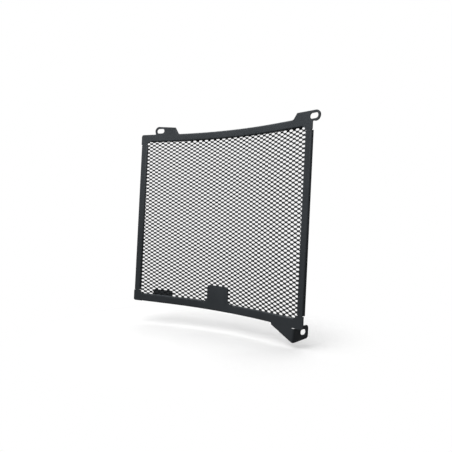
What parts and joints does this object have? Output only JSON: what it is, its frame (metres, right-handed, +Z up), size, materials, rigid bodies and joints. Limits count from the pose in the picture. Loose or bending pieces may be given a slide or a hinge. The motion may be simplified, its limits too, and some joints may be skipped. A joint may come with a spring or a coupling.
{
  "type": "motorcycle radiator guard",
  "caption": "Curved black sheet frame with folded edges, slotted upper ears and a slotted lower flange, backed by an expanded metal grille that shields a radiator.",
  "frame": {"origin": "centre of the left ear's slot, on the ear's rear face", "axes": "+X along the guard from the left ear towards the right one, +Y from the front face back towards the radiator, +Z up"},
  "size_m": [0.297, 0.034, 0.2835],
  "materials": {
    "frame_coat": "satin black powder coat",
    "mesh_coat": "satin black powder coat"
  },
  "bodies": {
    "root": {"frame": "frame_coat", "mesh": "mesh_coat"}
  },
  "joints": []
}
